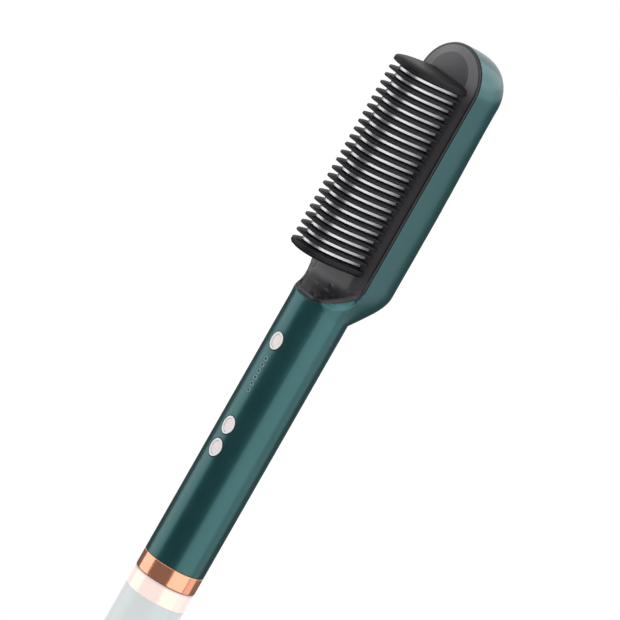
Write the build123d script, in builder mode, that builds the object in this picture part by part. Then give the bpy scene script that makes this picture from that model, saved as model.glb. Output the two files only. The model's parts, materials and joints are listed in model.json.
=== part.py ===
from build123d import *
from math import cos, pi, sin
import os

# Hot comb: a hair-straightening comb with a round handle, three buttons and a heated comb on a deeper head.
# The origin is the centre of the tail's flat bottom. +Z runs up the handle to the tip of the head, the
# buttons and the comb face -Y, and +X is on the right of somebody who looks at the comb.
# All sizes are in millimetres.

# ---- Overall form ---------------------------------------------------------------------------------
overall_length = 275.0
handle_radius = 14.75
neck_bottom = 140.3            # the round handle ends and the neck starts to widen
neck_top = 160.0               # the head has its full width and depth
head_half_width = 18.75
head_depth = 25.8              # from the seam plane to the back, where the head is deepest
head_deepest_rise = 30.0       # the head is deepest this far above the neck
head_depth_loss = 1.6          # how much shallower the head is at the centre of its round end
circle_fullness = 0.5523       # reach of a curve's handles that makes a round section
head_fullness = 0.88           # fuller corners on the head
side_draft = 0.05              # the sides lean in by this share of the width on their way to the back
wall = 2.0
widening_power = 2.0           # the neck widens late and deepens early
deepening_power = 0.8
neck_stations = 6
head_stations = 4

# ---- Fits and gaps --------------------------------------------------------------------------------
close_gap = 0.05               # pieces that are pressed or snapped together
slide_gap = 0.15               # a button in its ring
running_gap = 0.08             # the cord bush in the end cap
free_gap = 0.3

# ---- Tail -----------------------------------------------------------------------------------------
ring_height = 8.9
ring_wall = 1.55
ring_edge_radius = 0.8
ring_lip = 0.35
cap_thickness = 3.0
cap_collar_height = 4.2
spigot_wall = 1.4
shell_floor_rise = 1.6         # the handle's thin wall starts this far above the ring
bush_radius = 5.0
bush_bore_radius = 3.1
bush_flange_radius = 7.0
bush_flange_thickness = 1.5
bush_neck_radius = 4.2
bush_neck_height = 4.0
clip_thickness = 1.2
clip_collar_wall = 1.45
clip_ledge = 1.3

# ---- Face of the comb -----------------------------------------------------------------------------
flange_thickness = 1.0
flange_inset = 0.35
face_height = 3.0              # the flat face stands this far in front of the seam plane
face_side_margin = 7.55        # from the flat face's side to the head's
face_end_shift = 2.5           # the flat face's round end is centred this far above the head's
bevel_foot_inset = 1.2
# The ramp through the neck and the scoop that lies on it: where they start in front of the handle, and
# the further points of their side views in y and z
ramp_start = 0.75
ramp_foot = 142.7
ramp_points = ((-9.5, 147.2), (-3.0, 150.0), (0.0, 157.5))
scoop_start = 1.55
scoop_foot = 143.8
scoop_points = ((-10.1, 148.2), (-3.4, 150.6), (-1.0, 158.5))
lip_setback = 1.35             # from the handle's front to the scoop's flat lip

# ---- Comb ribs ------------------------------------------------------------------------------------
rib_pitch = 3.93
first_rib_rise = 9.6           # above the neck
last_rib_margin = 22.8         # the least distance from a rib to the head's top
rib_foot = 3.1                 # how far a rib reaches past the flat face's side
rib_crown_height = 33.5
rib_shoulder = 9.0             # reach of the outline's handle at the crown, larger for a flatter crown
side_fullness = 0.85           # reach of the handle at the root, as a share of the crown's height
rib_thickness = 1.35
rib_edge_thickness = 0.8
rib_edge_depth = 1.4
end_rib_gap = 0.25             # from an end rib's inner face to the fin beside it
# Sections of an end rib: place outwards from its inner face, distance in from its outline
end_rib_layers = ((0.0, 1.2), (0.5, 0.0), (2.1, 0.0), (2.9, 0.6), (3.6, 2.3), (4.0, 5.4))

# ---- Heated comb ----------------------------------------------------------------------------------
fin_side_gap = 0.2             # from a fin to the side of the opening
fin_crown_height = 29.8
fin_shoulder = 6.0
# Sections of a fin's one half: place from its middle, distance in from its outline
fin_layers = ((1.1, 1.0), (0.95, 0.3), (0.6, 0.0))
plate_thickness = 2.5
plate_seat = 0.8
plate_end_seat = 2.0

# ---- Heater stack on the back of the heated comb --------------------------------------------------
film_thickness = 0.3
film_overhang = 0.8            # past the heater, on all sides
heater_half_width = 7.0
heater_thickness = 2.5
clamp_sheet = 0.8
clamp_overhang = 0.6
clamp_margin = 4.6             # from the clamp's feet to the plate's ends
clamp_foot = 4.2
clamp_end_gap = 1.0
clamp_screw_radius = 1.2
clamp_screw_depth = 1.8
screw_tip_gap = 0.4
fuse_radius = 1.9
fuse_length = 11.0
sensor_radius = 1.1
sensor_length = 7.0
film_side_gap = 0.4            # from the films to the fuse and to the sensor
boss_radius = 1.9
boss_inset = 1.3               # from the shield's side
boss_length = 8.2
boss_end_inset = 1.8
shield_side_gap = 1.35         # from the shield to the shell's wall
shield_thickness = 1.2
shield_end_margin = 3.5
shield_screw_radius = 0.9
screw_head_radius = 1.7
screw_head_height = 1.1

# ---- Buttons --------------------------------------------------------------------------------------
power_height = 120.4
plus_height = 77.0
plus_minus_pitch = 11.5
ring_half_width = 3.4
ring_half_height = 4.25
button_ring_wall = 0.9
button_ring_proud = 0.2
button_ring_depth = 2.95
button_recess = 0.2
button_flange_growth = 1.1
button_flange_thickness = 0.8
button_travel = 0.5
stem_radius = 1.5
stem_length = 1.3
plunger_guide = 1.2            # how much of a plunger stays inside its switch

# ---- Circuit board --------------------------------------------------------------------------------
board_thickness = 1.2
board_side_gap = 1.3           # from the board's front edges to the handle's wall
board_top_margin = 15.6        # above the power button's middle
board_bottom_margin = 23.5     # below the minus button's middle
board_screw_inset = 6.0
board_screw_radius = 1.0
board_screw_length = 9.0
board_post_radius = 2.8
switch_side = 6.0
switch_depth = 3.5
plunger_radius = 1.6
plunger_reach = 1.3
lamp_count = 6
lamp_pitch = 3.18
lamp_power_gap = 9.3           # from the top lamp to the power button's middle
lamp_hole_radius = 0.65
guide_half_width = 1.8
guide_thickness = 1.4
guide_margin = 1.6
chip_size = (7.0, 1.1, 7.0)    # across, deep and tall, as for the next two
chip_minus_pitch = 10.0        # the chip is this far below the minus button's switch
film_capacitor_size = (13.0, 7.0, 14.0)
triac_size = (10.0, 4.5, 15.0)
smoothing_capacitor_radius = 4.0
smoothing_capacitor_length = 10.0
smoothing_capacitor_rise = 2.5  # above the minus button's middle
component_gap = 7.0            # between the tall components on the board's back
lamp_size = (1.2, 0.8, 2.0)    # across, deep and tall
heater_lead_radius = 0.9
heater_lead_offset = 4.5
sensor_lead_radius = 0.45
sensor_lead_offset = 0.55
lead_gap = 0.05
lead_bend_radius = 12.0
lead_overlap = 10.0            # how far the leads run down the board's back
lead_bend_rise = 3.0           # the lower bend is this far above the board
lead_bend_drop = 0.5           # the upper bend is this far below the neck's top

# ---- Worked-out places --------------------------------------------------------------------------------------------
head_axis_height = overall_length - head_half_width
head_deepest_height = neck_top + head_deepest_rise
shell_floor = ring_height + shell_floor_rise
face_half_width = head_half_width - face_side_margin
rib_half_width = face_half_width + rib_foot
fin_half_width = face_half_width - fin_side_gap
ramp_curve = ((-handle_radius - ramp_start, ramp_foot), *ramp_points)
scoop_curve = ((-handle_radius - scoop_start, scoop_foot), *scoop_points)
lip_height = handle_radius - lip_setback
first_rib_height = neck_top + first_rib_rise
rib_count = int((overall_length - last_rib_margin - first_rib_height) / rib_pitch) + 1
rib_heights = [first_rib_height + rib_pitch * index for index in range(rib_count)]
fin_heights = [first_rib_height + rib_pitch * (index - 0.5) for index in range(rib_count + 1)]
end_rib_offset = rib_pitch / 2 + fin_layers[0][0] + end_rib_gap
comb_bottom = rib_heights[0] - end_rib_offset
comb_top = rib_heights[-1] + end_rib_offset
comb_middle = (comb_bottom + comb_top) / 2
comb_length = comb_top - comb_bottom
plate_length = comb_length + 2 * plate_end_seat
plate_half_width = face_half_width + plate_seat
clamp_length = plate_length - 2 * clamp_margin
clamp_inner_length = clamp_length - 2 * (clamp_foot + clamp_sheet)
clamp_half_width = heater_half_width + clamp_overhang
film_length = clamp_inner_length - 2 * clamp_end_gap
film_half_width = heater_half_width + film_overhang
heater_length = film_length - 2 * film_overhang
fuse_offset = film_half_width + film_side_gap + fuse_radius
sensor_offset = film_half_width + film_side_gap + sensor_radius
film_back = plate_thickness + film_thickness
heater_back = film_back + heater_thickness
stack_back = heater_back + film_thickness
heater_lead_back = film_back + heater_thickness / 2
clamp_screw_reach = (clamp_length - clamp_foot) / 2
clamp_screw_places = [(0, comb_middle + side * clamp_screw_reach) for side in (-1, 1)]
shield_half_width = head_half_width - wall - shield_side_gap
boss_offset = shield_half_width - boss_inset
boss_heights = (comb_bottom - boss_end_inset, comb_top + boss_end_inset)
boss_places = [(side * boss_offset, height) for side in (-1, 1) for height in boss_heights]
spigot_radius = handle_radius - ring_wall - close_gap
spigot_bore_radius = spigot_radius - spigot_wall
spigot_bottom = cap_thickness + close_gap
clip_radius = spigot_bore_radius - clip_collar_wall
clip_ledge_radius = clip_radius - clip_ledge
clip_seat = cap_thickness + bush_flange_thickness + 3 * running_gap
minus_height = plus_height - plus_minus_pitch
button_heights = {"power": power_height, "plus": plus_height, "minus": minus_height}
button_places = [(0, height) for height in button_heights.values()]
button_hole_width = ring_half_width - button_ring_wall
button_hole_height = ring_half_height - button_ring_wall
button_half_width = button_hole_width - slide_gap
button_half_height = button_hole_height - slide_gap
flange_front = handle_radius - button_ring_depth - free_gap
flange_back = flange_front - button_flange_thickness
plunger_top = flange_back - stem_length
switch_face = plunger_top - plunger_reach
board_front = switch_face - switch_depth
lamp_first_height = power_height - lamp_power_gap - (lamp_count - 1) * lamp_pitch
lamp_heights = [lamp_first_height + lamp_pitch * index for index in range(lamp_count)]
lamp_places = [(0, height) for height in lamp_heights]
board_back = -board_front + board_thickness
board_half_width = ((handle_radius - wall - board_side_gap) ** 2 - board_front**2) ** 0.5
board_top = power_height + board_top_margin
board_bottom = minus_height - board_bottom_margin
board_screw_heights = (board_bottom + board_screw_inset, board_top - board_screw_inset)
board_screw_places = [(0, height) for height in board_screw_heights]
chip_height = minus_height - chip_minus_pitch
smoothing_capacitor_height = minus_height + smoothing_capacitor_rise
film_capacitor_bottom = smoothing_capacitor_height + smoothing_capacitor_radius + component_gap
film_capacitor_height = film_capacitor_bottom + film_capacitor_size[2] / 2
triac_bottom = film_capacitor_bottom + film_capacitor_size[2] + component_gap
triac_height = triac_bottom + triac_size[2] / 2
lead_slot_radius = heater_lead_radius + free_gap
lead_start = board_top - lead_overlap
lead_lower_bend = board_top + lead_bend_rise
lead_upper_bend = neck_top - lead_bend_drop


def save(builder, label):
    """Give the finished piece its name and write it."""
    builder.part.label = label
    export_step(builder.part, f"parts/{label}.step")


# ---- Outer form of handle, neck and head ----------------------------------------------------------
def section_size(height):
    """Half width, depth behind the seam plane, fullness of the back's corners and side draft."""
    rise = sin(pi / 2 * min(max((height - neck_bottom) / (neck_top - neck_bottom), 0.0), 1.0))
    widening, deepening = rise**widening_power, rise**deepening_power
    away = max((height - head_deepest_height) / (head_axis_height - head_deepest_height), 0.0)
    full_depth = head_depth - head_depth_loss * (1 - cos(pi * away)) / 2
    width = handle_radius + (head_half_width - handle_radius) * widening
    depth = handle_radius + (full_depth - handle_radius) * deepening
    fullness = circle_fullness + (head_fullness - circle_fullness) * deepening
    return width, depth, fullness, side_draft * deepening


def right_side(height, inset):
    """Right half of the section: a curve from the front to the side and one on to the back."""
    if height == neck_bottom:
        radius = handle_radius - inset
        return [CenterArc((0, 0), radius, -90, 90), CenterArc((0, 0), radius, 0, 90)]
    width, depth, fullness, draft = section_size(height)
    front = handle_radius - inset
    width -= inset
    depth -= inset
    return [
        Bezier((0, -front), (circle_fullness * width, -front), (width, -circle_fullness * front), (width, 0)),
        Bezier((width, 0), ((1 - draft) * width, fullness * depth), (fullness * width, depth), (0, depth)),
    ]


def outer_form(inset, bottom):
    """The closed form of handle, neck and head, moved in by inset, from the height bottom upwards."""
    with BuildPart() as form:
        with BuildSketch(Plane.XY.offset(bottom)):
            Circle(handle_radius - inset)
        extrude(amount=neck_bottom - bottom)
        for start, end, stations in (
            (neck_bottom, neck_top, neck_stations),
            (neck_top, head_axis_height, head_stations),
        ):
            for index in range(stations + 1):
                height = start + (end - start) * index / stations
                with BuildSketch(Plane.XY.offset(height)):
                    with BuildLine():
                        mirror(right_side(height, inset), about=Plane.YZ)
                    make_face()
            loft()
        with BuildSketch(Plane.XY.offset(head_axis_height)):
            with BuildLine() as profile:
                right_side(head_axis_height, inset)
                ends = profile.vertices().sort_by(Axis.Y)
                Line(ends[0].center(), ends[-1].center())
            make_face()
        revolve(axis=Axis((0, 0, head_axis_height), (0, -1, 0)), revolution_arc=180)
    return form.part


# ---- Housing --------------------------------------------------------------------------------------
with BuildPart() as housing:
    add(outer_form(0, ring_height))
    with BuildSketch(Plane.XY.offset(spigot_bottom)):
        Circle(spigot_radius)
    extrude(amount=ring_height - spigot_bottom)
    add(outer_form(wall, shell_floor), mode=Mode.SUBTRACT)
    with BuildSketch(Plane.XY.offset(spigot_bottom)):
        Circle(spigot_bore_radius)
    extrude(amount=shell_floor - spigot_bottom, mode=Mode.SUBTRACT)

with BuildPart() as rear_shell:
    add(housing.part)
    split(bisect_by=Plane.XZ, keep=Keep.BOTTOM)
    # Posts that carry the circuit board, each as long as the shell is deep there, with blind holes for screws
    for height in board_screw_heights:
        with BuildSketch(Plane.XZ.offset(-board_back)):
            with Locations((0, height)):
                Circle(board_post_radius)
        extrude(amount=board_back - section_size(height)[1] + wall / 2)
    with BuildSketch(Plane.XZ.offset(-board_back)):
        with Locations(*board_screw_places):
            Circle(board_screw_radius + close_gap)
    extrude(amount=-board_screw_length, mode=Mode.SUBTRACT)
save(rear_shell, "rear_shell")


with BuildPart() as front_shell:
    add(housing.part)
    split(bisect_by=Plane.XZ, keep=Keep.TOP)
    # The neck's ramp cuts the handle's round front in a U
    with BuildSketch(Plane.YZ):
        with BuildLine():
            ramp = Bezier(*ramp_curve)
            Polyline(
                ramp @ 1,
                (0, overall_length + wall),
                ((ramp @ 0).X, overall_length + wall),
                ramp @ 0,
            )
        make_face()
    extrude(amount=head_half_width + wall, both=True, mode=Mode.SUBTRACT)
    # Holes for the button rings and for the six lamps
    with BuildSketch(Plane.XZ):
        with Locations(*button_places):
            Ellipse(ring_half_width + close_gap, ring_half_height + close_gap)
        with Locations(*lamp_places):
            Circle(lamp_hole_radius)
    extrude(amount=handle_radius + wall, mode=Mode.SUBTRACT)
save(front_shell, "front_shell")


# ---- Comb frame -----------------------------------------------------------------------------------
def face_outline(half_width, end_shift):
    """Outline of the face, with a round end; its straight sides run on down past the ramp."""
    top = head_axis_height + end_shift
    with BuildSketch() as outline:
        with BuildLine():
            Polyline((-half_width, top), (-half_width, ramp_foot), (half_width, ramp_foot), (half_width, top))
            ThreePointArc((half_width, top), (0, top + half_width), (-half_width, top))
        make_face()
    return outline.sketch


def dome_outline(half_width, crown_height, shoulder):
    """Outline of a rib or fin: it stands on the seam plane and its crown points to -Y."""
    side_height = side_fullness * crown_height
    with BuildSketch() as outline:
        with BuildLine():
            for side in (-1, 1):
                root, crown = (side * half_width, 0), (0, -crown_height)
                Bezier(root, (side * half_width, -side_height), (side * shoulder, -crown_height), crown)
            Line((-half_width, 0), (half_width, 0))
        make_face()
    return outline.sketch


def dome_plate(layers, sizes):
    """A rib or fin at the origin, through layers of (place along Z, distance in from its outline)."""
    with BuildPart() as plate:
        for place, inset in layers:
            with BuildSketch(Plane.XY.offset(place)):
                add(dome_outline(*[size - inset for size in sizes]))
        loft(ruled=True)
    return plate.part


with BuildPart() as comb_face:
    # Raised face with a bevel all round, cut off where the ramp starts
    with BuildSketch(Plane.XZ.offset(flange_thickness)):
        add(face_outline(head_half_width - bevel_foot_inset, 0))
    with BuildSketch(Plane.XZ.offset(face_height)):
        add(face_outline(face_half_width, face_end_shift))
    loft(ruled=True)
    with BuildSketch(Plane.YZ):
        with BuildLine():
            ramp = Bezier(*ramp_curve)
            Polyline(ramp @ 1, (0, overall_length), ((ramp @ 0).X, overall_length), ramp @ 0)
        make_face()
    extrude(amount=head_half_width, both=True, mode=Mode.INTERSECT)
    # Flange on the shell's rim, and the scoop over the neck to the handle's front
    with BuildSketch(Plane.YZ):
        with BuildLine():
            ramp = Bezier(*ramp_curve)
            scoop = Bezier(*scoop_curve)
            Polyline(scoop @ 1, (-flange_thickness, overall_length), (0, overall_length), ramp @ 1)
            Line(ramp @ 0, scoop @ 0)
        make_face()
        with Locations((-lip_height, 0)):
            Rectangle(lip_height, overall_length, align=(Align.MIN, Align.MIN), mode=Mode.INTERSECT)
    extrude(amount=head_half_width, both=True)
    add(outer_form(flange_inset, ring_height), mode=Mode.INTERSECT)
    # The opening that the fins stand in
    with BuildSketch(Plane.XZ.offset(-wall)):
        with Locations((0, comb_middle)):
            Rectangle(2 * face_half_width, comb_length)
    extrude(amount=face_height + 2 * wall, mode=Mode.SUBTRACT)
    # Bosses on the back for the heat shield's screws
    with BuildSketch(Plane.XZ):
        with Locations(*boss_places):
            Circle(boss_radius)
    extrude(amount=-boss_length)
    with BuildSketch(Plane.XZ.offset(-boss_length)):
        with Locations(*boss_places):
            Circle(shield_screw_radius + close_gap)
    extrude(amount=boss_length, mode=Mode.SUBTRACT)
save(comb_face, "comb_face")

rib_sizes = (rib_half_width, rib_crown_height, rib_shoulder)
rib_half_layers = ((rib_thickness / 2, rib_edge_depth), (rib_edge_thickness / 2, 0))


def both_halves(half_layers):
    """Layers through a whole plate from those of its upper half."""
    return [(-place, inset) for place, inset in half_layers] + list(reversed(half_layers))


rib = dome_plate(both_halves(rib_half_layers), rib_sizes)
end_rib = dome_plate(end_rib_layers, rib_sizes)

# The ribs stand on the face and bridge its opening
with BuildPart() as comb_ribs:
    with Locations(*[(0, 0, height) for height in rib_heights]):
        add(rib)
    with Locations((0, 0, comb_top)):
        add(end_rib)
    with Locations((0, 0, comb_bottom)):
        add(end_rib.mirror(Plane.XY))
    add(comb_face.part, mode=Mode.SUBTRACT)
save(comb_ribs, "comb_ribs")


# ---- Heated comb and its heater -------------------------------------------------------------------
fin = dome_plate(both_halves(fin_layers), (fin_half_width, fin_crown_height, fin_shoulder))

with BuildPart() as heated_comb:
    with BuildSketch(Plane.XZ):
        with Locations((0, comb_middle)):
            Rectangle(2 * plate_half_width, plate_length)
    extrude(amount=-plate_thickness)
    with Locations(*[(0, 0, height) for height in fin_heights]):
        add(fin)
    with BuildSketch(Plane.XZ.offset(-plate_thickness)):
        with Locations(*clamp_screw_places):
            Circle(clamp_screw_radius + close_gap)
    extrude(amount=clamp_screw_depth, mode=Mode.SUBTRACT)
save(heated_comb, "heated_comb")


def flat_sheet(half_width, length, front, thickness):
    """A flat sheet behind the comb, centred on it."""
    with BuildPart() as sheet:
        with BuildSketch(Plane.XZ.offset(-front)):
            with Locations((0, comb_middle)):
                Rectangle(2 * half_width, length)
        extrude(amount=-thickness)
    return sheet.part


with BuildPart() as insulating_films:
    add(flat_sheet(film_half_width, film_length, plate_thickness, film_thickness))
    add(flat_sheet(film_half_width, film_length, heater_back, film_thickness))
save(insulating_films, "insulating_films")

with BuildPart() as ptc_heater:
    add(flat_sheet(heater_half_width, heater_length, film_back, heater_thickness))
save(ptc_heater, "ptc_heater")

with BuildPart() as heater_clamp:
    with BuildSketch(Plane.YZ):
        with Locations((plate_thickness, comb_middle)):
            Rectangle(stack_back + clamp_sheet - plate_thickness, clamp_inner_length + 2 * clamp_sheet,
                      align=(Align.MIN, Align.CENTER))
            Rectangle(clamp_sheet, clamp_length, align=(Align.MIN, Align.CENTER))
            Rectangle(stack_back - plate_thickness, clamp_inner_length, align=(Align.MIN, Align.CENTER),
                      mode=Mode.SUBTRACT)
    extrude(amount=clamp_half_width, both=True)
    with BuildSketch(Plane.XZ.offset(-plate_thickness)):
        with Locations(*clamp_screw_places):
            Circle(clamp_screw_radius + close_gap)
    extrude(amount=-clamp_sheet, mode=Mode.SUBTRACT)
    # Two slots let the heater's leads through the lower leg
    with BuildSketch(Plane.XY.offset(comb_middle - clamp_length / 2)):
        with Locations(*[(side * heater_lead_offset, heater_lead_back) for side in (-1, 1)]):
            SlotCenterToCenter(2 * lead_slot_radius, 2 * lead_slot_radius, rotation=90)
    extrude(amount=(clamp_length - film_length) / 2, mode=Mode.SUBTRACT)
save(heater_clamp, "heater_clamp")


def screws(places, front, seat, shank_radius):
    """Pan-head screws that point to -Y: the shank ends at front and the head stands on seat."""
    with BuildPart() as group:
        with BuildSketch(Plane.XZ.offset(-front)):
            with Locations(*places):
                Circle(shank_radius)
        extrude(amount=front - seat)
        with BuildSketch(Plane.XZ.offset(-seat)):
            with Locations(*places):
                Circle(screw_head_radius)
        extrude(amount=-screw_head_height)
        head_edges = group.edges().group_by(Axis.Y)[-1]
        fillet(head_edges, screw_head_height / 3)
    return group.part


with BuildPart() as clamp_screws:
    add(screws(clamp_screw_places, plate_thickness - clamp_screw_depth + close_gap,
               plate_thickness + clamp_sheet, clamp_screw_radius))
save(clamp_screws, "clamp_screws")

with BuildPart() as thermal_fuse:
    with BuildSketch(Plane.XY.offset(comb_middle - fuse_length / 2)):
        with Locations((-fuse_offset, plate_thickness + fuse_radius)):
            Circle(fuse_radius)
    extrude(amount=fuse_length)
    fillet(thermal_fuse.edges().filter_by(GeomType.CIRCLE), fuse_radius / 4)
save(thermal_fuse, "thermal_fuse")

with BuildPart() as temperature_sensor:
    with BuildSketch(Plane.XY.offset(comb_middle - sensor_length / 2)):
        with Locations((sensor_offset, plate_thickness + sensor_radius)):
            Circle(sensor_radius)
    extrude(amount=sensor_length)
    fillet(temperature_sensor.edges().filter_by(GeomType.CIRCLE), sensor_radius / 3)
save(temperature_sensor, "temperature_sensor")

with BuildPart() as heat_shield:
    with BuildSketch(Plane.XZ.offset(-boss_length)):
        with Locations((0, comb_middle)):
            RectangleRounded(2 * shield_half_width, comb_length + 2 * shield_end_margin, screw_head_radius)
        with Locations(*boss_places):
            Circle(shield_screw_radius + close_gap, mode=Mode.SUBTRACT)
    extrude(amount=-shield_thickness)
save(heat_shield, "heat_shield")

with BuildPart() as shield_screws:
    add(screws(boss_places, screw_tip_gap, boss_length + shield_thickness, shield_screw_radius))
save(shield_screws, "shield_screws")


# ---- Buttons --------------------------------------------------------------------------------------
def round_trim(radius):
    """A tall round bar about the handle's axis, which trims a piece to the handle's curve."""
    with BuildPart() as bar:
        Cylinder(radius, board_top, align=(Align.CENTER, Align.CENTER, Align.MIN))
    return bar.part


with BuildPart() as button_rings:
    with BuildSketch(Plane.XZ.offset(handle_radius - button_ring_depth)):
        with Locations(*button_places):
            Ellipse(ring_half_width, ring_half_height)
            Ellipse(button_hole_width, button_hole_height, mode=Mode.SUBTRACT)
    extrude(amount=button_ring_depth + wall)
    add(round_trim(handle_radius + button_ring_proud), mode=Mode.INTERSECT)
save(button_rings, "button_rings")

for name, height in button_heights.items():
    with BuildPart() as button:
        with BuildSketch(Plane.XZ.offset(flange_back)):
            with Locations((0, height)):
                Ellipse(button_half_width + button_flange_growth, button_half_height + button_flange_growth)
        extrude(amount=button_flange_thickness)
        with BuildSketch(Plane.XZ.offset(flange_front)):
            with Locations((0, height)):
                Ellipse(button_half_width, button_half_height)
        extrude(amount=handle_radius)
        add(round_trim(handle_radius - button_recess), mode=Mode.INTERSECT)
        with BuildSketch(Plane.XZ.offset(plunger_top)):
            with Locations((0, height)):
                Circle(stem_radius)
        extrude(amount=flange_back - plunger_top)
    save(button, f"{name}_button")

    with BuildPart() as plunger:
        with BuildSketch(Plane.XZ.offset(switch_face - plunger_guide)):
            with Locations((0, height)):
                Circle(plunger_radius)
        extrude(amount=plunger_guide + plunger_reach)
    save(plunger, f"{name}_plunger")

with BuildPart() as tact_switches:
    with BuildSketch(Plane.XZ.offset(board_front)):
        with Locations(*button_places):
            Rectangle(switch_side, switch_side)
    extrude(amount=switch_depth)
    with BuildSketch(Plane.XZ.offset(switch_face)):
        with Locations(*button_places):
            Circle(plunger_radius + slide_gap)
    extrude(amount=-plunger_guide - button_travel - free_gap, mode=Mode.SUBTRACT)
save(tact_switches, "tact_switches")


# ---- Circuit board and what it carries ------------------------------------------------------------
with BuildPart() as circuit_board:
    with BuildSketch(Plane.XZ.offset(board_front)):
        with Locations((0, board_bottom)):
            Rectangle(2 * board_half_width, board_top - board_bottom, align=(Align.CENTER, Align.MIN))
        with Locations(*board_screw_places):
            Circle(board_screw_radius + close_gap, mode=Mode.SUBTRACT)
    extrude(amount=-board_thickness)
save(circuit_board, "circuit_board")

with BuildPart() as board_screws:
    with BuildSketch(Plane.XZ.offset(board_front)):
        with Locations(*board_screw_places):
            Circle(board_screw_radius)
    extrude(amount=screw_tip_gap - board_screw_length)
    with BuildSketch(Plane.XZ.offset(board_front)):
        with Locations(*board_screw_places):
            Circle(screw_head_radius)
    extrude(amount=screw_head_height)
    fillet(board_screws.edges().group_by(Axis.Y)[0], screw_head_height / 3)
save(board_screws, "board_screws")


def on_board(size, height, y, side):
    """A block that stands on the board's front (side 1) or back (side -1) at y."""
    across, deep, tall = size
    with BuildPart() as block:
        with BuildSketch(Plane.XZ.offset(-y)):
            with Locations((0, height)):
                Rectangle(across, tall)
        extrude(amount=side * deep)
        fillet(block.edges().filter_by(Axis.Y), min(across, tall) / 10)
    return block.part


with BuildPart() as controller_chip:
    add(on_board(chip_size, chip_height, -board_front, 1))
save(controller_chip, "controller_chip")

with BuildPart() as film_capacitor:
    add(on_board(film_capacitor_size, film_capacitor_height, board_back, -1))
save(film_capacitor, "film_capacitor")

with BuildPart() as triac:
    add(on_board(triac_size, triac_height, board_back, -1))
save(triac, "triac")

with BuildPart() as smoothing_capacitor:
    with BuildSketch(Plane.XZ.offset(-board_back)):
        with Locations((0, smoothing_capacitor_height)):
            Circle(smoothing_capacitor_radius)
    extrude(amount=-smoothing_capacitor_length)
    fillet(smoothing_capacitor.edges().group_by(Axis.Y)[-1], smoothing_capacitor_radius / 8)
save(smoothing_capacitor, "smoothing_capacitor")

with BuildPart() as status_lamps:
    for height in lamp_heights:
        add(on_board(lamp_size, height, -board_front, 1))
save(status_lamps, "status_lamps")

with BuildPart() as light_guide:
    guide_front = handle_radius - wall - free_gap - slide_gap
    with BuildSketch(Plane.XZ.offset(guide_front - guide_thickness)):
        with Locations((0, (lamp_heights[0] + lamp_heights[-1]) / 2)):
            Rectangle(2 * guide_half_width, lamp_heights[-1] - lamp_heights[0] + 2 * guide_margin)
    extrude(amount=guide_thickness)
    with BuildSketch(Plane.XZ.offset(guide_front)):
        with Locations(*lamp_places):
            Circle(lamp_hole_radius - close_gap)
    extrude(amount=handle_radius)
    add(round_trim(handle_radius - button_recess), mode=Mode.INTERSECT)
save(light_guide, "light_guide")


def lead(x, radius, back, top):
    """A lead from the board's back, through the neck, up to the piece that it feeds at the height top."""
    y = board_back + radius + lead_gap
    points = [(x, y, lead_start), (x, y, lead_lower_bend), (x, back, lead_upper_bend), (x, back, top)]
    with BuildPart() as wire:
        with BuildLine() as route:
            FilletPolyline(*points, radius=lead_bend_radius)
        with BuildSketch(Plane(route.line @ 0, z_dir=route.line % 0)):
            Circle(radius)
        sweep()
    return wire.part


with BuildPart() as heater_leads:
    lead_top = comb_middle - heater_length / 2
    for side in (-1, 1):
        add(lead(side * heater_lead_offset, heater_lead_radius, heater_lead_back, lead_top))
save(heater_leads, "heater_leads")

with BuildPart() as sensor_leads:
    sensor_back = plate_thickness + sensor_radius
    lead_top = comb_middle - sensor_length / 2
    for side in (-1, 1):
        add(lead(sensor_offset + side * sensor_lead_offset, sensor_lead_radius, sensor_back, lead_top))
save(sensor_leads, "sensor_leads")


# ---- Tail -----------------------------------------------------------------------------------------
with BuildPart() as tail_ring:
    with BuildSketch(Plane.XY):
        Circle(handle_radius)
        Circle(handle_radius - ring_wall, mode=Mode.SUBTRACT)
    extrude(amount=ring_height)
    fillet(tail_ring.edges().group_by(Axis.Z)[0].sort_by(SortBy.RADIUS)[-1], ring_edge_radius)
    chamfer(tail_ring.edges().group_by(Axis.Z)[-1].sort_by(SortBy.RADIUS)[-1], ring_lip)
save(tail_ring, "tail_ring")

with BuildPart() as end_cap:
    with BuildSketch(Plane.XY):
        Circle(spigot_radius)
    extrude(amount=cap_thickness)
    with BuildSketch(Plane.XY.offset(cap_thickness)):
        Circle(spigot_bore_radius - close_gap)
        Circle(clip_ledge_radius, mode=Mode.SUBTRACT)
    extrude(amount=cap_collar_height)
    with BuildSketch(Plane.XY.offset(clip_seat)):
        Circle(clip_radius + close_gap)
    extrude(amount=cap_collar_height, mode=Mode.SUBTRACT)
    with BuildSketch(Plane.XY):
        Circle(bush_radius + running_gap)
    extrude(amount=cap_thickness, mode=Mode.SUBTRACT)
save(end_cap, "end_cap")

with BuildPart() as cord_bush:
    flange_bottom = cap_thickness + running_gap
    with BuildSketch(Plane.XY):
        Circle(bush_radius)
    extrude(amount=flange_bottom)
    with BuildSketch(Plane.XY.offset(flange_bottom)):
        Circle(bush_flange_radius)
    extrude(amount=bush_flange_thickness)
    with BuildSketch(Plane.XY.offset(flange_bottom + bush_flange_thickness)):
        Circle(bush_neck_radius)
    extrude(amount=bush_neck_height)
    with BuildSketch(Plane.XY):
        Circle(bush_bore_radius)
    extrude(amount=handle_radius, mode=Mode.SUBTRACT)
save(cord_bush, "cord_bush")

with BuildPart() as bush_clip:
    with BuildSketch(Plane.XY.offset(clip_seat)):
        Circle(clip_radius)
        Circle(bush_neck_radius + free_gap, mode=Mode.SUBTRACT)
    extrude(amount=clip_thickness)
save(bush_clip, "bush_clip")
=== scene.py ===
import json
import math

import bmesh
import bpy
from mathutils import Matrix, Vector
from mathutils.bvhtree import BVHTree


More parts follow.
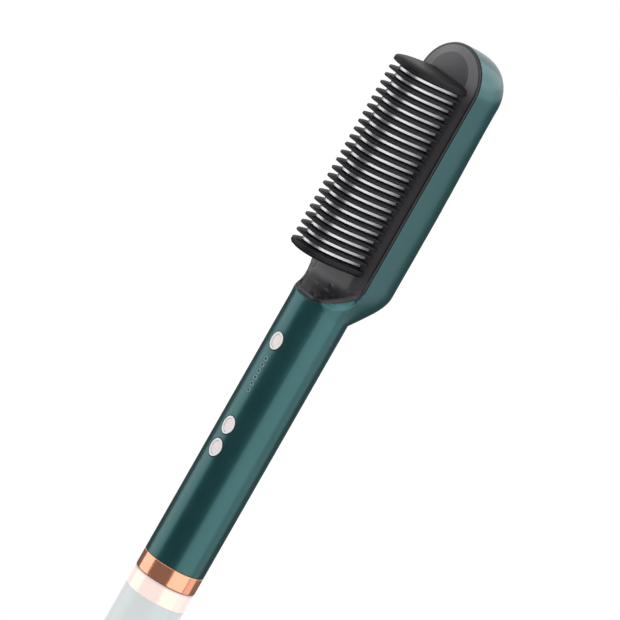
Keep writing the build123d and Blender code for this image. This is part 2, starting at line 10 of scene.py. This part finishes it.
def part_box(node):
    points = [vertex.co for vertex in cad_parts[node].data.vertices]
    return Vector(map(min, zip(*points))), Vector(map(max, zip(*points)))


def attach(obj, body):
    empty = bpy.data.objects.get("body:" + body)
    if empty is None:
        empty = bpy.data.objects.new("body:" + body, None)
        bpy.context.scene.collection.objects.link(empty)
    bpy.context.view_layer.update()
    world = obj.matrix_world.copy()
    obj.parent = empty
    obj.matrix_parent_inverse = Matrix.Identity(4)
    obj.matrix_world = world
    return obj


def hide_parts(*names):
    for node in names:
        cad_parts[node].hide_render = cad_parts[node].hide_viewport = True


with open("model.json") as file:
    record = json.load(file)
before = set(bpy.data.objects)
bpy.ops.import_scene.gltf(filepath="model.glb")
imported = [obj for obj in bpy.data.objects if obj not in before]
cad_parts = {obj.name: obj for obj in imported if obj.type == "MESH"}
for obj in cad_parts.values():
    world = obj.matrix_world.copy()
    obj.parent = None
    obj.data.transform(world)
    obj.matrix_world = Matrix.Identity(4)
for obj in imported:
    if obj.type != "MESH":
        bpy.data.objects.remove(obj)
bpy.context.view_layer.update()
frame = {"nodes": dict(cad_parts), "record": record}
nodes = frame["nodes"]
scene = bpy.context.scene
scene.view_settings.view_transform = "Standard"


def placed(name, data):
    """A new object, linked to the scene."""
    obj = bpy.data.objects.new(name, data)
    scene.collection.objects.link(obj)
    return obj


# ---- Node trees ---------------------------------------------------------------------------
def empty_tree(owner):
    """The cleared node tree of a new material or world."""
    owner.use_nodes = True
    owner.node_tree.nodes.clear()
    return owner.node_tree


def link_chain(tree, kind, **sockets):
    """A new node with its inputs set to numbers, colours or other nodes' outputs."""
    node = tree.nodes.new(kind)
    for name, value in sockets.items():
        socket = node.inputs[name.replace("_", " ")]
        if isinstance(value, bpy.types.NodeSocket):
            tree.links.new(value, socket)
        else:
            socket.default_value = value
    return node


def end_in(tree, kind, shader):
    """Ends a tree in an output node that shows the shader."""
    tree.links.new(shader, tree.nodes.new(kind).inputs["Surface"])


def ramp(tree, source, stops):
    """A colour ramp over source with (place, colour) stops."""
    node = tree.nodes.new("ShaderNodeValToRGB")
    tree.links.new(source, node.inputs["Fac"])
    while len(node.color_ramp.elements) < len(stops):
        node.color_ramp.elements.new(0.5)
    for element, (place, colour) in zip(node.color_ramp.elements, stops):
        element.position = place
        element.color = (*colour, 1.0)
    return node.outputs["Color"]


def tinted(tree, share, base, tint):
    """The base colour with a share of tint laid over it."""
    blend = tree.nodes.new("ShaderNodeMix")
    blend.data_type = "RGBA"
    tree.links.new(share, blend.inputs["Factor"])
    tree.links.new(base, blend.inputs["A"])
    blend.inputs["B"].default_value = (*tint, 1.0)
    return blend.outputs["Result"]


def mixed(tree, factor, first, second):
    """A mix of two shaders by a number or an output."""
    node = tree.nodes.new("ShaderNodeMixShader")
    if isinstance(factor, bpy.types.NodeSocket):
        tree.links.new(factor, node.inputs["Fac"])
    else:
        node.inputs["Fac"].default_value = factor
    tree.links.new(first, node.inputs[1])
    tree.links.new(second, node.inputs[2])
    return node.outputs[0]


# ---- Materials ----------------------------------------------------------------------------
cloud_dark, cloud_middle, cloud_light = 0.3, 0.5, 0.72     # the cloud noise's stops of colour
cloud_smooth, cloud_rough = 0.3, 0.7                       # and its ends of the roughness
least_rough = 0.02
grain_strength = 0.6
bevel_samples = 6
# How alike the rounded and the flat normal are where the edge wear and painted edge highlight
# start and where they are whole, and how much of their lighter colour then shows
wear_and_highlight_start, wear_and_highlight_whole, wear_and_highlight_share = 0.98, 0.80, 0.55


def scaled(colour, factor):
    return tuple(min(1.0, channel * factor) for channel in colour)


def finish_material(name, colour, rough, metallic=0.0, grain=900.0, grain_height=0.00002,
                    vary=0.12, rough_vary=0.06, edge_radius=0.0003, edge_wear_and_highlight_gain=1.6, coat=0.0,
                    coat_rough=0.05, specular=0.5, mottle=45.0, stretch=(1.0, 1.0, 1.0),
                    zones=()):
    """Moulded, coated or metal surface: cloudy colour, fine grain, edges lightened partly by
    wear and partly by a painted highlight, and uneven roughness. A zone blends to another tint
    from one place to another along an axis."""
    material = bpy.data.materials.new(name)
    tree = empty_tree(material)
    place = tree.nodes.new("ShaderNodeTexCoord").outputs["Object"]
    stretched = link_chain(tree, "ShaderNodeMapping", Vector=place, Scale=stretch)
    clouds, fine = (link_chain(tree, "ShaderNodeTexNoise", Vector=stretched.outputs["Vector"],
                               Scale=scale, Detail=detail, Roughness=spread).outputs["Fac"]
                    for scale, detail, spread in ((mottle, 6.0, 0.6), (grain, 4.0, 0.55)))
    base = ramp(tree, clouds, [(cloud_dark, scaled(colour, 1 - vary)), (cloud_middle, colour),
                               (cloud_light, scaled(colour, 1 + vary))])
    along = tree.nodes.new("ShaderNodeSeparateXYZ")
    tree.links.new(place, along.inputs[0])
    for axis, start, end, tint in zones:
        share = link_chain(tree, "ShaderNodeMapRange", Value=along.outputs[axis],
                           From_Min=start, From_Max=end)
        base = tinted(tree, share.outputs["Result"], base, tint)
    rounded = link_chain(tree, "ShaderNodeBevel", Radius=edge_radius)
    rounded.samples = bevel_samples
    alike = tree.nodes.new("ShaderNodeVectorMath")
    alike.operation = "DOT_PRODUCT"
    tree.links.new(rounded.outputs["Normal"], alike.inputs[0])
    tree.links.new(tree.nodes.new("ShaderNodeNewGeometry").outputs["Normal"], alike.inputs[1])
    # Lighter edges: partly wear, partly a painted highlight where rounded edges catch the light
    wear_and_highlight = link_chain(tree, "ShaderNodeMapRange", Value=alike.outputs["Value"],
                      From_Min=wear_and_highlight_start, From_Max=wear_and_highlight_whole, To_Max=wear_and_highlight_share)
    worn_and_highlighted = tinted(tree, wear_and_highlight.outputs["Result"], base, scaled(colour, edge_wear_and_highlight_gain))
    bump = link_chain(tree, "ShaderNodeBump", Height=fine, Normal=rounded.outputs["Normal"],
                      Distance=grain_height, Strength=grain_strength)
    roughness = link_chain(tree, "ShaderNodeMapRange", Value=clouds, From_Min=cloud_smooth,
                           From_Max=cloud_rough, To_Min=max(least_rough, rough - rough_vary),
                           To_Max=rough + rough_vary)
    shader = link_chain(tree, "ShaderNodeBsdfPrincipled", Base_Color=worn_and_highlighted,
                        Roughness=roughness.outputs["Result"], Normal=bump.outputs["Normal"],
                        Metallic=metallic, Coat_Weight=coat, Coat_Roughness=coat_rough,
                        Specular_IOR_Level=specular)
    end_in(tree, "ShaderNodeOutputMaterial", shader.outputs["BSDF"])
    return material


# The edge gain of each finish lightens its rounded edges, partly as wear and partly as a
# painted highlight
finishes = {
    "green_shell": dict(colour=(0.017, 0.091, 0.094), rough=0.32, metallic=0.64, coat=0.33,
                        coat_rough=0.18, grain_height=0.000003, vary=0.06, rough_vary=0.03,
                        edge_radius=0.0004, edge_wear_and_highlight_gain=1.8),
    # Painted light and shade: the arch at the top is painted greyer as if lit, what lies in
    # front of the flat face is painted darker as shade, and what lies behind its rim is painted
    # near black as a shadow line
    "comb_face": dict(colour=(0.046, 0.040, 0.045), rough=0.44, grain_height=0.000006,
                      vary=0.10, edge_wear_and_highlight_gain=2.6, edge_radius=0.0008,
                      zones=(("Z", 0.2520, 0.2620, (0.12, 0.115, 0.12)),
                             ("Y", -0.00282, -0.00288, (0.034, 0.032, 0.037)),
                             ("Y", -0.0032, -0.0085, (0.012, 0.010, 0.013)),
                             ("Y", -0.00112, -0.00104, (0.006, 0.006, 0.007)))),
    # The ribs' high edge gain is a painted highlight along their thin front edges
    "comb_ribs": dict(colour=(0.013, 0.013, 0.014), rough=0.46, grain_height=0.000006,
                      edge_wear_and_highlight_gain=16.0, edge_radius=0.0004, specular=0.12),
    "coated_aluminium": dict(colour=(0.52, 0.52, 0.55), rough=0.37, metallic=0.95,
                             grain_height=0.000004, edge_wear_and_highlight_gain=1.2, vary=0.08),
    "copper_metal": dict(colour=(0.86, 0.36, 0.21), rough=0.16, metallic=0.72, coat=0.6,
                         coat_rough=0.12, grain=1400.0, grain_height=0.000002,
                         stretch=(1.0, 1.0, 0.06), vary=0.05, rough_vary=0.02, edge_wear_and_highlight_gain=1.2),
    "pearl_plastic": dict(colour=(0.94, 0.95, 0.93), rough=0.3, grain_height=0.000004,
                          vary=0.03, edge_wear_and_highlight_gain=1.05),
    "rose_plastic": dict(colour=(0.93, 0.82, 0.80), rough=0.3, grain_height=0.000004,
                         vary=0.05, edge_wear_and_highlight_gain=1.1),
    "bare_steel": dict(colour=(0.56, 0.56, 0.57), rough=0.34, metallic=1.0, edge_wear_and_highlight_gain=1.3),
    "bare_aluminium": dict(colour=(0.72, 0.72, 0.73), rough=0.38, metallic=1.0, edge_wear_and_highlight_gain=1.2),
    "amber_film": dict(colour=(0.60, 0.30, 0.06), rough=0.35),
    "heater_body": dict(colour=(0.70, 0.68, 0.63), rough=0.6),
    "sensor_glass": dict(colour=(0.72, 0.56, 0.34), rough=0.2),
    "dark_plastic": dict(colour=(0.030, 0.030, 0.033), rough=0.5),
    "board_laminate": dict(colour=(0.03, 0.17, 0.07), rough=0.4, mottle=300.0),
    "capacitor_plastic": dict(colour=(0.66, 0.50, 0.07), rough=0.35),
    "lamp_plastic": dict(colour=(0.85, 0.83, 0.72), rough=0.3),
    "clear_plastic": dict(colour=(0.02, 0.05, 0.05), rough=0.2),
    "silicone_lead": dict(colour=(0.60, 0.06, 0.05), rough=0.5),
    "sensor_lead": dict(colour=(0.80, 0.80, 0.78), rough=0.5),
    # Near black, for the painted shadow in the gaps round the buttons
    "painted_gap_shadow": dict(colour=(0.008, 0.010, 0.011), rough=0.6),
    # A lit copy of the green, for painted highlight rings round the lamp holes
    "lamp_hole_highlight": dict(colour=(0.20, 0.32, 0.32), rough=0.35),
}
looks = {name: finish_material(name, **finish) for name, finish in finishes.items()}


def dress(obj, look):
    obj.data.materials.clear()
    obj.data.materials.append(looks[look])


# Nodes that look otherwise than their slot in the record says
own_looks = {"comb_face": "comb_face", "comb_ribs": "comb_ribs", "power_button": "rose_plastic",
             "plus_button": "rose_plastic", "minus_button": "rose_plastic"}
for entry in frame["record"]["subparts"]:
    dress(nodes[entry["node"]], own_looks.get(entry["node"], entry["material_slot"]))


# ---- Leaner shoulders and a smooth scoop where the neck meets the comb --------------------
# A shoulder is drawn in along this direction, to its reach at each height
lean_x, lean_y = 0.755, -0.656
shoulder_reach = ((0.1435, 0.01490), (0.1451, 0.01480), (0.1469, 0.01390), (0.1487, 0.01325),
                  (0.1505, 0.01300), (0.1523, 0.01310), (0.1541, 0.01340), (0.1559, 0.01355),
                  (0.1577, 0.01395), (0.1610, 0.01480))
lean_share = 0.85              # of what a point stands out over the reach
seam_ease = 0.0015             # depth over which the move fades out towards the seam at y = 0
weld = 0.000002                # joins the corners that the faces of a node's mesh share
# The neck's faces, and the level and upright cuts that divide them evenly
neck_bottom, neck_top = 0.1404, 0.1670
level_cuts = [0.1405 + 0.0011 * step for step in range(25)]
upright_cuts = [-0.0182 + 0.0014 * step for step in range(27)]
cut_tolerance = 0.0000005
# The scoop: its faces look to the front, and so do the ones of its smoothed inner part
front_slope, side_slope = -0.15, 0.35
scoop_bottom, scoop_top, scoop_back = 0.1450, 0.1650, -0.0025
scoop_weld = 0.0003
inner_bottom, inner_top, inner_front = 0.1455, 0.1640, -0.0128
least_area = 0.000000002
# The rays that measure the scoop's depth above and below a point, and the depths that count
ray_start, ray_pitch, rays_each_way, depth_span = -0.05, 0.0004, 8, 0.0045
crease_angle = math.radians(32)


def reach_at(height):
    """The shoulder's reach at a height, or None above and below the table."""
    for (low, first), (high, second) in zip(shoulder_reach, shoulder_reach[1:]):
        if low <= height <= high:
            return first + (second - first) * (height - low) / (high - low)
    return None


def cut_neck(form):
    """Divides the neck's faces by level and upright planes."""
    for axis, cuts in ((2, level_cuts), (0, upright_cuts)):
        for place in cuts:
            point, normal = Vector((0, 0, 0)), Vector((0, 0, 0))
            point[axis], normal[axis] = place, 1
            near = [f for f in form.faces if min(v.co.z for v in f.verts) < neck_top
                    and max(v.co.z for v in f.verts) > neck_bottom]
            edges = {e for f in near for e in f.edges}
            verts = {v for f in near for v in f.verts}
            bmesh.ops.bisect_plane(form, geom=[*verts, *edges, *near], dist=cut_tolerance,
                                   plane_co=point, plane_no=normal)


def faces_front(faces):
    """Whether all of the faces look to the front and hardly sideways."""
    return all(f.normal.y < front_slope and abs(f.normal.x) < side_slope for f in faces)


def lean_in(form):
    """Draws the front's points in to the shoulder's reach."""
    for vert in form.verts:
        reach = reach_at(vert.co.z)
        if reach is None or vert.co.y >= 0:
            continue
        over = lean_x * abs(vert.co.x) + lean_y * vert.co.y - reach
        if over > 0:
            fade = min(-vert.co.y / seam_ease, 1.0)
            move = lean_share * over * (fade * fade * (3 - 2 * fade))
            vert.co.x -= math.copysign(lean_x * move, vert.co.x)
            vert.co.y -= lean_y * move


def level_scoop(form):
    """Takes out the scoop's creases: each of its points gets the mean depth of the places
    above and below it."""
    skin = BVHTree.FromBMesh(form)
    inner = [v for v in form.verts
             if inner_bottom < v.co.z < inner_top and inner_front < v.co.y < scoop_back
             and faces_front(f for f in v.link_faces if f.calc_area() > least_area)]
    depths = []
    for vert in inner:
        found = []
        for step in range(-rays_each_way, rays_each_way + 1):
            start = Vector((vert.co.x, ray_start, vert.co.z + ray_pitch * step))
            place = skin.ray_cast(start, Vector((0, 1, 0)))[0]
            if place and abs(place.y - vert.co.y) < depth_span:
                found.append(place.y)
        depths.append(sum(found) / len(found) if found else vert.co.y)
    for vert, depth in zip(inner, depths):
        vert.co.y = depth


def soften_neck(node, name, look, blend):
    """A copy of a node with leaner shoulders, and with a smooth scoop where blend is set. It
    stands for the node."""
    mesh = nodes[node].data.copy()
    form = bmesh.new()
    form.from_mesh(mesh)
    bmesh.ops.remove_doubles(form, verts=form.verts, dist=weld)
    cut_neck(form)
    if blend:
        scoop = [v for v in form.verts if scoop_bottom < v.co.z < scoop_top
                 and v.co.y < scoop_back and faces_front(v.link_faces)]
        bmesh.ops.remove_doubles(form, verts=scoop, dist=scoop_weld)
    bmesh.ops.triangulate(form, faces=form.faces)
    lean_in(form)
    form.normal_update()
    if blend:
        level_scoop(form)
    form.to_mesh(mesh)
    form.free()
    # The corner normals of the node's own mesh don't fit the new faces
    for layer in [a.name for a in mesh.attributes if a.name == "custom_normal"]:
        mesh.attributes.remove(mesh.attributes[layer])
    mesh.shade_smooth()
    mesh.set_sharp_from_angle(angle=crease_angle)
    piece = placed(name, mesh)
    dress(piece, look)
    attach(piece, "handset")
    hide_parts(node)
    return piece


soften_neck("front_shell", "front_skin", "green_shell", False)
soften_neck("comb_face", "face_skin", "comb_face", True)


# ---- Painted shadow round the buttons and painted highlight rings round the lamps ---------
handle_radius = 0.01475
bead_proud = -0.0001           # of the bead's middle line over the handle
bead_points = 40
shadow_bead_half_width, shadow_bead_half_height, shadow_bead_thickness = 0.00365, 0.00450, 0.00030
highlight_ring_radius, highlight_ring_thickness = 0.00092, 0.00026
lamp_count, lamp_radius = 6, 0.001


def loop_on_handle(name, half_width, half_height, middle, thickness, look):
    """A thin bead in an ellipse on the round front of the handle."""
    curve = bpy.data.curves.new(name, "CURVE")
    curve.dimensions = "3D"
    curve.bevel_depth = thickness
    curve.bevel_resolution = 2
    line = curve.splines.new("POLY")
    line.points.add(bead_points - 1)
    line.use_cyclic_u = True
    for index, point in enumerate(line.points):
        angle = 2 * math.pi * index / bead_points
        x = half_width * math.cos(angle)
        z = middle + half_height * math.sin(angle)
        point.co = (x, -math.sqrt((handle_radius + bead_proud) ** 2 - x * x), z, 1.0)
    bead = placed(name, curve)
    curve.materials.append(looks[look])
    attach(bead, "handset")


# Each button gets a near-black bead round it: a painted shadow in the gap between button and
# handle
for key in ("power", "plus", "minus"):
    low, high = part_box(f"{key}_button")
    loop_on_handle(f"{key}_shadow_bead", shadow_bead_half_width, shadow_bead_half_height, (low.z + high.z) / 2,
                   shadow_bead_thickness, "painted_gap_shadow")
low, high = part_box("status_lamps")
first_lamp, last_lamp = low.z + lamp_radius, high.z - lamp_radius
# Each lamp gets a ring of lit green round its hole: a painted highlight on the hole's edge
for index in range(lamp_count):
    middle = first_lamp + (last_lamp - first_lamp) * index / (lamp_count - 1)
    loop_on_handle(f"lamp_highlight_ring_{index}", highlight_ring_radius, highlight_ring_radius, middle, highlight_ring_thickness,
                   "lamp_hole_highlight")


# ---- Camera -------------------------------------------------------------------------------
turn, rise, roll = math.radians(40.98), math.radians(8.84), math.radians(29.72)
distance, lens_px, m_per_px = 2.93, 6621.0, 0.00044252
picture_px, sensor_mm = 620, 36.0
slide_right_px, slide_up_px = -6.1, 4.8
target = Vector((0, 0, 0.1375))
back = Vector((math.sin(turn) * math.cos(rise), -math.cos(turn) * math.cos(rise),
               math.sin(rise)))
right = Vector((math.cos(turn), math.sin(turn), 0))
up = back.cross(right)
cam_x = math.cos(roll) * right + math.sin(roll) * up
cam_y = back.cross(cam_x)
camera = placed("camera", bpy.data.cameras.new("camera"))
scene.camera = camera
camera.data.sensor_width = sensor_mm
camera.data.lens = sensor_mm * lens_px / picture_px
camera.data.clip_start, camera.data.clip_end = 0.1, 50.0
# The target lands a few pixels from the picture's middle, so the camera slides by as much
slide = slide_right_px * m_per_px * cam_x + slide_up_px * m_per_px * cam_y
camera.matrix_world = Matrix.Translation(target + distance * back + slide) @ Matrix(
    (cam_x, cam_y, back)).transposed().to_4x4()


# ---- World, floor and lamps ---------------------------------------------------------------
def background(tree, colour, strength):
    return link_chain(tree, "ShaderNodeBackground", Color=(*colour, 1),
                      Strength=strength).outputs[0]


# The camera sees white all round. What is mirrored sees a dim studio with a white wall far
# behind it, from a little above the horizon, and the rest of the light is a cool fill.
wall_start, wall_whole = math.radians(2), math.radians(5)
world = bpy.data.worlds.new("studio")
scene.world = world
tree = empty_tree(world)
path = tree.nodes.new("ShaderNodeLightPath").outputs
fill = background(tree, (0.93, 0.96, 1.0), 0.42)
studio = background(tree, (0.9, 0.95, 1.0), 0.10)
white = background(tree, (1, 1, 1), 1.0)
heading = tree.nodes.new("ShaderNodeSeparateXYZ")
tree.links.new(tree.nodes.new("ShaderNodeTexCoord").outputs["Generated"], heading.inputs[0])
wall = link_chain(tree, "ShaderNodeMapRange", Value=heading.outputs["Z"],
                  From_Min=math.sin(wall_start), From_Max=math.sin(wall_whole))
room = mixed(tree, path["Is Glossy Ray"], fill,
             mixed(tree, wall.outputs["Result"], studio, white))
end_in(tree, "ShaderNodeOutputWorld", mixed(tree, path["Is Camera Ray"], room, white))

# The floor glows white to the camera and mirrors the tool faintly. It is clear to mirrored
# rays and matt to all others.
floor_side, floor_glow, floor_gloss_rough, floor_grey = 4.0, 1.22, 0.02, 0.92
matt_share, mirror_share = 0.25, 0.42
floor_mesh = bpy.data.meshes.new("floor")
floor_mesh.from_pydata([(-floor_side, -floor_side, 0), (floor_side, -floor_side, 0),
                        (floor_side, floor_side, 0), (-floor_side, floor_side, 0)],
                       [], [(0, 1, 2, 3)])
floor = placed("floor", floor_mesh)
floor_look = bpy.data.materials.new("floor")
tree = empty_tree(floor_look)
path = tree.nodes.new("ShaderNodeLightPath").outputs
glow = link_chain(tree, "ShaderNodeEmission", Color=(1, 1, 1, 1), Strength=floor_glow)
gloss = link_chain(tree, "ShaderNodeBsdfGlossy", Color=(1, 1, 1, 1),
                   Roughness=floor_gloss_rough)
matt = link_chain(tree, "ShaderNodeBsdfDiffuse",
                  Color=(floor_grey, floor_grey, floor_grey, 1))
clear = link_chain(tree, "ShaderNodeBsdfTransparent", Color=(1, 1, 1, 1))
plain = mixed(tree, matt_share, glow.outputs[0], matt.outputs[0])
seen = mixed(tree, mirror_share, plain, gloss.outputs[0])
lit = mixed(tree, path["Is Glossy Ray"], matt.outputs[0], clear.outputs[0])
end_in(tree, "ShaderNodeOutputMaterial", mixed(tree, path["Is Camera Ray"], lit, seen))
floor_mesh.materials.append(floor_look)


def softbox(name, bearing, height, reach, width, tall, radiance):
    """A soft lamp that looks at the middle of the object. Its bearing is counted in degrees
    from the camera's."""
    angle = turn + math.radians(bearing)
    lamp = bpy.data.lights.new(name, "AREA")
    lamp.shape = "RECTANGLE"
    lamp.size, lamp.size_y = width, tall
    lamp.energy = radiance * math.pi * width * tall
    obj = placed(name, lamp)
    obj.location = Vector((math.sin(angle) * reach, -math.cos(angle) * reach, height))
    obj.rotation_mode = "QUATERNION"
    obj.rotation_quaternion = (obj.location - target).to_track_quat("Z", "Y")


softbox("key_right", 47.5, 0.1, 1.2, 1.5, 1.8, 1.75)
softbox("far_right", 99, 0.1, 1.2, 0.65, 1.8, 1.0)
softbox("side_left", -93, 0.1, 1.2, 1.15, 1.8, 1.75)
softbox("top", -30, 1.5, 0.5, 0.9, 0.9, 1.2)
softbox("back_high", 127, 0.95, 0.95, 0.9, 0.7, 1.1)
